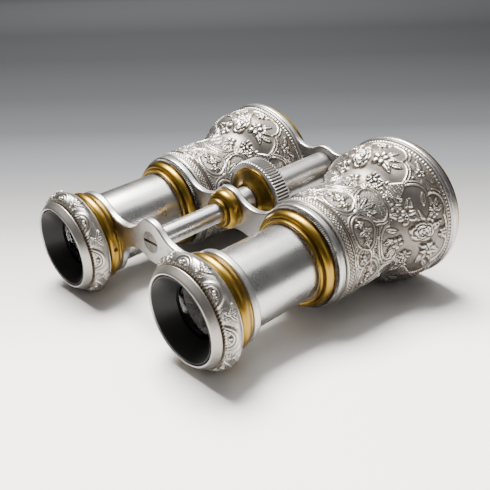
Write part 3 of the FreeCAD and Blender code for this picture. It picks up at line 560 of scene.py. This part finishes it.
milled("wheel_rim", "centre", ribs=68, depth=0.65, steps=10)
for side in "LR":
    milled("knurled_ring_" + side, side, ribs=150, depth=0.22, steps=8)
print("cut the ribs of the wheel and the coin edges")

# %% [markdown]
# ## Stamps for chased work
#
# The ornament is built like the real one, from a small set of stamps: a leaf, a many-petalled flower, a rose,
# a bead and an outline of lobes. Each stamp is a function that gives a height over flat coordinates in
# millimetres. Stamps are joined by keeping the higher of the two, so a flower overlaps a leaf as in real work.

# %% Define the stamps
def ridge(distance, width):
    """A rounded line, width millimetres wide, where the distance is zero."""
    return np.exp(-(distance / (width / 2)) ** 2)


def turned_by(u, v, angle):
    return u * cos(angle) + v * sin(angle), v * cos(angle) - u * sin(angle)


def leaf(u, v, angle, length, width):
    """A pointed leaf that starts at the origin, with a midrib and slanting veins."""
    u, v = turned_by(u, v, angle)
    part = np.clip(u / length, 0, 1)
    half = width / 2 * np.clip(np.sin(pi * part ** 0.8), 0, 1) ** 0.8 + 1e-6
    inside = smooth(1 - np.abs(v) / half, 0, 0.45) * (u > 0) * (u < length)
    vein = 0.16 * np.cos(2 * pi * (u - 1.1 * np.abs(v)) / 0.62)
    return inside * (0.72 + vein - 0.5 * ridge(v, 0.22))


def bead(u, v, radius):
    return np.sqrt(np.clip(1 - (u * u + v * v) / radius ** 2, 0, 1))


print("stamps: ridge, leaf, bead")

# %% [markdown]
# The flowers are made in polar coordinates. A wave round the middle gives the petals, and each petal rises
# from the middle towards its tip, where the punch went less deep. The rose is three such rows, one inside the
# other. The panels are outlined by lobes, which are circles joined together.

# %% Define the flowers and the lobes
def daisy(u, v, radius, petals=5, turn=0.0):
    """Rounded petals about a small pierced boss."""
    distance, angle = np.hypot(u, v), np.arctan2(v, u) - turn
    wave = np.abs(np.cos(petals * angle / 2))
    edge = radius * (0.52 + 0.48 * wave ** 0.7)
    petal = smooth(1 - distance / edge, 0, 0.35) * (0.45 + 0.55 * wave) * (0.55 + 0.45 * distance / radius)
    boss = bead(u, v, radius * 0.27) - 0.9 * bead(u, v, radius * 0.12)
    return np.where(distance < radius * 0.30, 0.25 + 0.6 * boss, petal)


def rose(u, v, radius):
    """Three rows of petals, the inner ones higher, round a tight bud."""
    distance, angle = np.hypot(u, v), np.arctan2(v, u)
    height = np.zeros_like(u)
    for share, petals, turn, top in ((1.0, 6, 0.2, 0.62), (0.70, 5, 0.9, 0.84), (0.40, 3, 0.1, 1.0)):
        wave = np.abs(np.cos(petals * (angle - turn) / 2))
        edge = radius * share * (0.80 + 0.20 * wave ** 0.6)
        lip = smooth(1 - distance / edge, 0, 0.22) * (0.72 + 0.28 * smooth(distance / edge, 0.35, 0.9))
        height = np.where(distance < edge, np.maximum(height * 0.72, top * lip * (0.7 + 0.3 * wave)), height)
    return height + 0.15 * bead(u, v, radius * 0.16)


def outside_lobes(u, v, lobes):
    """The distance outside a union of round lobes, given as (across, ahead, radius, stretch)."""
    distance = np.full_like(u, 1e3)
    for x, y, radius, stretch in lobes:
        distance = np.minimum(distance, np.hypot((u - x) / stretch, v - y) - radius)
    return distance


print("stamps: daisy, rose, lobes")

# %% [markdown]
# ## The barrels
#
# The pattern runs round each barrel four times. Near the waist are scalloped panels, and a fan of feathers
# stands on each join between them. In front of them lies plain dark ground with a large bouquet, framed by a
# double line of lobes. A flat lozenge and a small flower fill the space between two bouquets. The pattern is
# worked out over one quarter of the barrel, on a grid of 124 columns, and repeated.

# %% Mark out the quarter
QUARTER = 124
WAIST_STATION, RIM_STATION = 46.0, 85.6


class Chasing:
    """Heights over part of a barrel, in millimetres above the ground, with marks for the finish."""

    def __init__(self, station, radius):
        self.turn = (np.arange(QUARTER) / QUARTER - 0.5) * pi / 2 + 0 * station[:, None]
        self.station = station[:, None] + 0 * self.turn
        self.radius = radius[:, None]
        self.height = np.zeros_like(self.turn)
        self.ground = np.zeros_like(self.turn)
        self.stipple = np.zeros_like(self.turn)

    def from_point(self, turn, station):
        """Flat coordinates about a point that is turn degrees round from the bouquet."""
        apart = (self.turn - radians(turn) + pi / 4) % (pi / 2) - pi / 4
        return self.radius * apart, self.station - station

    def add(self, height, top):
        self.height = np.maximum(self.height, height * top)


print("each column of the grid is %.2f degrees wide" % (90 / QUARTER))

# %% [markdown]
# The bouquet is a rose among daisies, each with leaves behind it that point away from the middle. A flower
# presses down the leaves under it, or the two would run together. Every flower is given by how many degrees
# round it is, its station, its size and its number of petals.

# %% Arrange the bouquet
def bouquet(work):
    """The rose with its daisies and leaves, on open ground."""
    for turn, station, size, petals in ((-2, 74.0, 3.5, 0), (14, 75.4, 2.9, 5), (21, 69.9, 2.1, 6),
                                        (-18, 71.0, 2.7, 5), (4, 80.8, 2.0, 5), (4, 67.0, 2.5, 5),
                                        (-15, 78.2, 2.2, 6)):
        u, v = work.from_point(turn, station)
        angle = np.arctan2(station - 73.5, turn * 0.35)
        for spread in (-0.75, 0.0, 0.7):
            work.add(leaf(u, v, angle + spread, size * 2.1, size * 0.85), 0.62)
        work.height *= 1 - 0.55 * smooth(size * 1.12 - np.hypot(u, v), 0, 0.3)
        work.add(rose(u, v, size) if petals == 0 else daisy(u, v, size, petals, 0.3 * turn), 1.05)
    for turn, station, angle, length in ((-8, 67.6, -2.0, 5.2), (9, 64.8, -1.2, 3.8), (-23, 75.6, 2.8, 4.0),
                                         (26, 74.8, 0.5, 3.6), (-1, 64.6, -1.7, 3.8), (17, 66.8, -0.6, 4.0)):
        u, v = work.from_point(turn, station)
        work.add(leaf(u, v, angle, length, 1.9), 0.6)
        work.add(ridge(np.hypot(u, v), 0.5), 0.5)


print("the bouquet has seven flowers")

# %% [markdown]
# The frames come next. Each is a union of lobes, and its lines are ridges at fixed distances from that union.
# Inside a panel the ground is stippled, and outside it a row of small teeth follows the edge. The frame round
# the bouquet is hidden wherever a panel near the waist lies over it.

# %% Frame the panels
def bouquet_frame(work):
    """The distance outside the lobed frame round the bouquet."""
    return outside_lobes(*work.from_point(0, 72.6), (
        (0, 0.6, 9.6, 1.06), (-11.6, 1.6, 3.9, 1), (11.6, 1.6, 3.9, 1),
        (-6.4, 6.4, 4.3, 1.1), (6.4, 6.4, 4.3, 1.1), (0, -8.6, 4.0, 1.3)))


def waist_panels(work):
    """The distances outside the fan's panel, the two side panels and the small middle one."""
    fan = outside_lobes(*work.from_point(45, 61.2), (
        (0, 1.2, 4.5, 1.12), (-2.6, 2.6, 3.0, 1), (2.6, 2.6, 3.0, 1)))
    left, right = (outside_lobes(*work.from_point(turn, 54.8), (
        (0, 0, 3.9, 1.26), (lean, 1.7, 2.9, 1.1))) for turn, lean in ((-23.5, -0.6), (23.5, 0.6)))
    middle = outside_lobes(*work.from_point(0, 52.4), ((0, 0, 2.6, 1.1), (0, 1.6, 1.9, 1)))
    return fan, np.minimum(left, right), middle


def teeth(work, fan, sides, panels):
    """A row of small teeth just outside the panels."""
    u, v = work.from_point(45, 61.2)
    count = np.where(fan < sides, 56 * np.arctan2(v, u), 164 * work.turn)
    work.add(smooth(np.cos(count), -0.1, 0.5) * ridge(panels - 1.75, 0.62) * smooth(work.station, 54, 57), 0.26)


def quarter_of_chasing(station, radius):
    work = Chasing(station, radius)
    framed = bouquet_frame(work)
    fan, sides, middle = waist_panels(work)
    panels = np.minimum(np.minimum(fan, sides), middle)

    work.ground = smooth(panels, 1.3, 2.2) * smooth(work.station, 56.0, 58.5)
    work.ground *= 1 - 0.55 * smooth(framed, 1.0, 2.0) * smooth(work.station, 66, 70)
    work.stipple = smooth(-panels, 0.2, 0.6) + smooth(framed, 1.2, 1.8) * smooth(work.station, 70, 73)
    work.height -= 0.05 * smooth(panels, 1.6, 0.2)

    in_front = smooth(panels, 0.9, 1.6)
    work.add(ridge(framed, 0.60) * in_front, 0.45)
    work.add(ridge(framed - 0.95, 0.42) * in_front, 0.34)
    work.add(ridge(panels, 0.58), 0.42)
    work.add(ridge(panels - 0.85, 0.40), 0.30)
    teeth(work, fan, sides, panels)

    bouquet(work)
    fan_and_sprigs(work)
    lozenge_and_flower(work)
    borders(work)
    return work


print("four kinds of panel are framed")

# %% [markdown]
# The small panels hold a fan of feathers and sprigs of flowers on stippled ground. Between two bouquets lie
# the lozenge, which is flat with a fine diaper of its own, and a five-petalled flower. Along the waist runs a
# band of crossed lines, and along the rim a row of tiny beads between two plain lines.

# %% Fill the panels and the borders
def fan_and_sprigs(work):
    u, v = work.from_point(45, 56.6)
    for step in range(-2, 3):
        work.add(leaf(u, v, pi / 2 + step * 0.40, 7.8 - 0.5 * abs(step), 2.1), 0.66)
    work.add(bead(u, v + 0.2, 1.1), 0.7)
    for turn, lean in ((-23.5, 1), (23.5, -1)):
        for du, dv, size, petals in ((0, 0.6, 1.55, 5), (2.9 * lean, 0.2, 1.05, 6), (-2.7 * lean, -0.4, 1.1, 5)):
            u, v = work.from_point(turn, 54.9)
            u, v = u - du, v - dv
            for angle in (0.6, 2.3, 3.8, 5.4):
                work.add(leaf(u, v, angle + lean, size * 1.9, size * 0.9), 0.52)
            work.add(daisy(u, v, size, petals, lean), 0.85)
    u, v = work.from_point(0, 52.6)
    for angle in (0.5, 1.6, 2.7, 4.0, 5.4):
        work.add(leaf(u, v, angle, 2.4, 0.9), 0.4)
    work.add(daisy(u, v, 1.25), 0.7)
    for turn in (-11.5, 11.5):
        u, v = work.from_point(turn, 58.9)
        work.add(leaf(u, v, pi / 2 - 0.03 * turn, 2.6, 1.0), 0.4)


def lozenge_and_flower(work):
    u, v = work.from_point(45, 71.3)
    diamond = (np.abs(u) + np.abs(v)) * 0.7071 - 1.8
    flat = smooth(-diamond, 0, 0.25)
    work.height = work.height * (1 - flat) + 0.34 * flat
    work.add(ridge(diamond, 0.45), 0.5)
    diaper = smooth(np.cos(2 * pi * (u + v) / 1.2) * np.cos(2 * pi * (u - v) / 1.2), 0.1, 0.5)
    work.height += 0.16 * diaper * flat
    work.ground *= 1 - flat
    for du, dv in ((0, -3.2), (0, 3.2), (-3.2, 0), (3.2, 0)):
        work.add(bead(u - du, v - dv, 0.5), 0.5)
    u, v = work.from_point(45, 80.3)
    for angle in (-0.5, 0.6, pi - 0.6, pi + 0.5):
        work.add(leaf(u, v, angle, 5.4, 1.5), 0.42)
    for angle in (-0.1, pi + 0.1):
        work.add(leaf(u, v, angle, 7.4, 1.3), 0.4)
    work.add(daisy(u, v, 2.0, 5, pi / 2), 0.85)
    for du, dv in ((-3.6, 2.0), (3.6, 2.0), (-2.6, -2.2), (2.6, -2.2), (0, -3.4)):
        work.add(bead(u - du, v - dv, 0.5), 0.42)


def borders(work):
    station = work.station
    crossing = np.cos(92 * work.turn + 2 * pi * station / 1.1) + np.cos(92 * work.turn - 2 * pi * station / 1.1)
    crossed = smooth(station, 46.5, 46.9) * smooth(station, 49.0, 48.6)
    work.height = work.height * (1 - crossed) + crossed * (0.04 + 0.28 * smooth(crossing, 0.2, 1.4))
    for line in (46.3, 49.2, 49.9):
        work.add(ridge(station - line, 0.36), 0.36)
    dots = smooth(np.cos(120 * work.turn), 0.2, 0.8)
    work.add(dots * ridge(station - 50.6, 0.6), 0.3)
    rim = smooth(station, 83.2, 83.6)
    work.height *= 1 - rim
    for line in (83.7, 85.1):
        work.add(ridge(station - line, 0.40), 0.42)
    beads = 0.5 + 0.5 * np.cos(QUARTER * work.turn)
    work.add(beads * ridge(station - 84.4, 0.5), 0.34)
    work.ground *= 1 - rim
    work.stipple *= 1 - rim


trial = quarter_of_chasing(np.linspace(WAIST_STATION, RIM_STATION, 160), np.full(160, 20.0))
print("the tallest crest stands %.2f mm above the ground" % trial.height.max())

# %% [markdown]
# The pattern is then pressed into both barrels. The crests stand a little proud of the smooth shape and the
# ground lies a little below it, which is what pressing does to thin metal. The pattern is turned a different
# way on each barrel, because a real pair was never lined up. Only the outside gets closely spaced points.

# %% Press the barrels
BARREL_TURN = {"R": 130, "L": 57}


def pressed_barrel(side):
    node = "objective_barrel_" + side
    loop = outline_of(node, side)
    points = filled(loop, np.where(outside_of(loop), 0.24, 1.6))
    points = eased(points, 8, outside_of(points) & np.roll(outside_of(points), 1))
    rows = outside_of(points) & (points[:, 0] > WAIST_STATION) & (points[:, 0] < RIM_STATION)
    start = -int(np.argmin(rows))
    rows = np.roll(np.arange(len(points)), start)[np.roll(rows, start)]
    work = quarter_of_chasing(points[rows, 0], points[rows, 1])
    whole = np.tile(work.height, (1, 4))
    whole = whole - 0.3 * hollows_of(whole, 1)
    edge = smooth(points[rows, :1], WAIST_STATION, 46.5) * smooth(points[rows, :1], RIM_STATION, 85.2)
    height, hollow, ground, stipple = (np.zeros((len(points), 4 * QUARTER)) for _ in range(4))
    height[rows] = (whole * 0.72 - 0.2) * edge
    hollow[rows] = np.clip(hollows_of(whole, 14) / 0.34 + hollows_of(whole, 3) / 0.16, 0, 1.2) * edge
    ground[rows] = np.tile(np.clip(work.ground * smooth(work.height, 0.22, 0.02), 0, 1), (1, 4)) * edge
    stipple[rows] = np.tile(np.clip(work.stipple, 0, 1) * smooth(work.height, 0.3, 0.1), (1, 4)) * edge
    piece = sweep(node + "_pressed", body_of(node), side, points, 4 * QUARTER, height,
                  radians(BARREL_TURN[side]), {"hollow": hollow, "ground": ground, "stipple": stipple}, sharp=50)
    return replace(piece, node)


for side in "RL":
    barrel = pressed_barrel(side)
    print(barrel.name, "faces:", len(barrel.data.polygons))

# %% [markdown]
# ## The eyecup bands
#
# Each eyecup is rolled from the same metal. Behind its plain bezel lie a dark groove and a border like twisted
# rope. The rounded band behind carries eight half-moons, each with a boss in the middle, and a shell with three
# leaves between each two. The heights are laid out along the outline, because the band curves right over.

# %% Stamp the eyecup bands
REPEAT = 84


def half_moon(u, v):
    """A scroll of two lines about a boss, open towards the groove."""
    distance = np.hypot(u, v + 0.2)
    made = 0.75 * ridge(distance - 3.25, 0.8)
    made = np.maximum(made, 0.45 * ridge(distance - 2.35, 0.45))
    made = np.maximum(made, bead(u, v - 1.15, 0.62))
    for lean in (-1, 1):
        made = np.maximum(made, 0.6 * leaf(u - lean * 0.5, v - 0.5, pi / 2 - lean * 1.0, 1.9, 0.8))
    return made


def shell_and_leaves(u, v):
    made = np.zeros_like(u)
    for step in (-2, -1, 0, 1, 2):
        made = np.maximum(made, 0.8 * leaf(u, v - 0.2, pi / 2 + step * 0.42, 2.3 - 0.2 * abs(step), 0.75))
    for lean, length in ((-0.95, 3.4), (0.0, 3.2), (0.95, 3.4)):
        made = np.maximum(made, 0.75 * leaf(u, v - 2.4, pi / 2 + lean, length, 1.3))
    return np.maximum(made, 0.9 * bead(u, v - 2.2, 0.5))


def band_pattern(along_band, radius):
    """Heights over one eighth of the band, from the twisted rope to the plain line at the back."""
    angle = (np.arange(REPEAT) / REPEAT - 0.5) * pi / 4
    v = along_band - 1.5
    shells = [shell_and_leaves(radius * (angle - lean), v) for lean in (pi / 8, -pi / 8)]
    made = np.maximum(half_moon(radius * angle, v), np.maximum(*shells))
    length = along_band[-1, 0]
    made *= smooth(v, 0.0, 0.25) * smooth(along_band, length - 0.35, length - 0.75)
    rope = 0.5 + 0.5 * np.cos(96 * angle + 2.2 * along_band)
    made = np.maximum(made, rope * ridge(along_band - 1.0, 0.75) * 0.55)
    return np.maximum(made, ridge(along_band - (length - 0.3), 0.5) * 0.6)


print("the band repeats eight times, on", 8 * REPEAT, "columns")

# %% [markdown]
# The band is then pressed like the barrels. The bezel in front of it is rounded much more than a turned edge,
# because it is rolled over the dish, and the groove behind the bezel is full of dirt.

# %% Press the eyecup bands
BEZEL_END, GROOVE_END, BAND_END, BAND_RADIUS = 2.1, 3.05, 8.5, 13.9


def pressed_rim(side):
    node = "eyecup_rim_" + side
    loop = outline_of(node, side)
    shown = outside_of(loop) | (loop[:, 0] < 3.4)
    points = filled(loop, np.where(shown, 0.14, 1.0))
    points = eased(eased(points, 4), 30, points[:, 0] < BEZEL_END)
    station, seen = points[:, 0], outside_of(points)
    rows = np.flatnonzero(seen & (station > 2.2) & (station < BAND_END) & (points[:, 1] > BAND_RADIUS))
    rows = rows[np.argsort(station[rows])]
    along_band = np.concatenate([[0], np.cumsum(np.hypot(*np.diff(points[rows], axis=0).T))])[:, None]
    whole = np.tile(band_pattern(along_band, points[rows, 1:]), (1, 8))
    height, hollow, ground, stipple = (np.zeros((len(points), 8 * REPEAT)) for _ in range(4))
    length = along_band[-1, 0]
    edge = smooth(along_band, 0, 0.3) * smooth(along_band, length, length - 0.2)
    height[rows] = (whole * 0.46 - 0.2) * edge
    hollow[rows] = np.clip(hollows_of(whole, 12) * 2.6 + hollows_of(whole, 3) * 3.0, 0, 1.1) * edge
    hollow[seen & (station > 2.3) & (station < GROOVE_END)] = 1.0
    stipple[rows] = 0.3 * smooth(whole, 0.2, 0.05) * edge
    ground[seen & (station < 2.3)] = 0.4
    piece = sweep(node + "_pressed", body_of(node), side, points, 8 * REPEAT, height, radians(22.5),
                  {"hollow": hollow, "ground": ground, "stipple": stipple}, sharp=50)
    return replace(piece, node)


for side in "LR":
    rim = pressed_rim(side)
    print(rim.name, "faces:", len(rim.data.polygons))

# %% [markdown]
# ## Paper
#
# The glasses stand on a long sheet of paper. Only the part under them is lit well, so it is near white at the front
# and grows darker and cooler with distance. That fall of light is drawn into the paper, because a lamp alone would
# need flags and screens to do the same. The paper is also painted near black a little way in front, as painted
# shade, which keeps the lower sides of the polished metal from glowing.

# %% Lay the paper
def paper():
    finish = Finish("paper", Specular_IOR_Level=0.0)
    to_the_right, ahead = (finish.node("SeparateXYZ", {}, {"Vector": finish.place()}, output=way) for way in (0, 1))
    away = to_the_right * -0.75 + ahead * 0.66
    warm, cool = (1, 0.975, 0.945), (0.95, 0.99, 1.06)
    # Painted light on the paper: near black just in front as painted shade, then near white, then darker and cooler
    # with distance as a painted fall of light.
    shade = finish.node("ValToRGB", {"stops": (
        (0.0, grey(0.06, warm)), (0.09, grey(0.97, warm)), (0.154, grey(0.88, warm)), (0.190, grey(0.62, warm)),
        (0.217, grey(0.46, warm)), (0.250, grey(0.25)), (0.284, grey(0.155)), (0.316, grey(0.11, cool)),
        (0.379, grey(0.055, cool)), (0.460, grey(0.036, cool)), (0.595, grey(0.028, cool)),
        (0.731, grey(0.032, cool)), (1.0, grey(0.08, cool)))}, {"Fac": away + 0.2})
    tooth = finish.cloud(0.6, 3)
    return finish.wear(Base_Color=shade, Roughness=0.62 + tooth * 0.1, Normal=finish.bump(tooth, 0.01))


reach = 6
floor_mesh = bpy.data.meshes.new("paper")
floor_mesh.from_pydata([(x * reach, y * reach, 0) for x, y in ((-1, -1), (1, -1), (1, 1), (-1, 1))], [],
                       [(0, 1, 2, 3)])
floor_mesh.materials.append(paper().material)
floor = bpy.data.objects.new("paper", floor_mesh)
bpy.context.scene.collection.objects.link(floor)
print("paper laid,", 2 * reach, "metres across")

# %% [markdown]
# ## Light
#
# Polished metal shows its surroundings more than itself, so the light matters as much as the finish. One soft
# lamp hangs high and a little to the left, and keeps the shadows close. A weak one behind draws a line along
# the tops of the tubes, and a faint one fills from the right. The sky is dark at the horizon and bright
# overhead, which makes the sides of every tube darker than its top.

# %% Hang the lamps
def lamp(name, place, target, size, power, colour=(1, 1, 1)):
    data = bpy.data.lights.new(name, "AREA")
    data.shape, data.size, data.size_y, data.energy, data.color = "RECTANGLE", size[0], size[1], power, colour
    made = bpy.data.objects.new(name, data)
    made.location = place
    made.rotation_euler = (Vector(target) - Vector(place)).to_track_quat("-Z", "Y").to_euler()
    bpy.context.scene.collection.objects.link(made)


middle = Vector((0, 0, 0.02))
lamp("key", (-0.25, 0.04, 0.74), middle, (0.40, 0.40), 38.0, (1, 0.98, 0.95))
lamp("overhead", (0.02, 0.26, 0.60), middle, (0.45, 0.30), 1.5)
lamp("right", (0.62, 0.10, 0.30), middle, (0.20, 0.50), 0.3, (0.95, 0.98, 1))

world = bpy.data.worlds.new("studio")
bpy.context.scene.world = world
world.use_nodes = True
sky = Net(world.node_tree)
elevation = sky.node("SeparateXYZ", {}, {"Vector": sky.node("TexCoord")}, output=2)
tint = (0.97, 0.99, 1.03)
glow = sky.node("ValToRGB", {"stops": ((0.0, grey(0.04, tint)), (0.9, grey(1.0, tint)))}, {"Fac": elevation})
sky.feed(sky.nodes["Background"].inputs["Color"], glow)
sky.feed(sky.nodes["Background"].inputs["Strength"], 0.19)
print("lamps:", ", ".join(light.name for light in bpy.data.lights))

# %% [markdown]
# ## Camera
#
# The camera looks down on the eyepieces from the right, through a fairly long lens. Close up, a longer lens
# would flatten the barrels, and a shorter one would make the near eyecup too large.

# %% Place the camera
camera_data = bpy.data.cameras.new("camera")
camera_data.sensor_width, camera_data.lens = 36, 52.96
camera_data.clip_start, camera_data.clip_end = 0.01, 20
camera = bpy.data.objects.new("camera", camera_data)
bpy.context.scene.collection.objects.link(camera)
looking = Vector((-0.68233, 0.59655, -0.42256)).normalized()
upright = Vector((-0.30050, 0.29806, 0.90601))
sideways = looking.cross(upright).normalized()
turn = Matrix((sideways, sideways.cross(looking), -looking)).transposed()
camera.matrix_world = Matrix.Translation((0.158457, -0.134677, 0.109429)) @ turn.to_4x4()
bpy.context.scene.camera = camera
print("camera is %.0f mm from the glasses" % (camera.matrix_world.translation.length / MM))

# %% [markdown]
# ## Last step
#
# Last, the scene is brought up to date. The pressed crests may stand a little proud, but by less than a millimetre.

# %% Update the scene
bpy.context.view_layer.update()
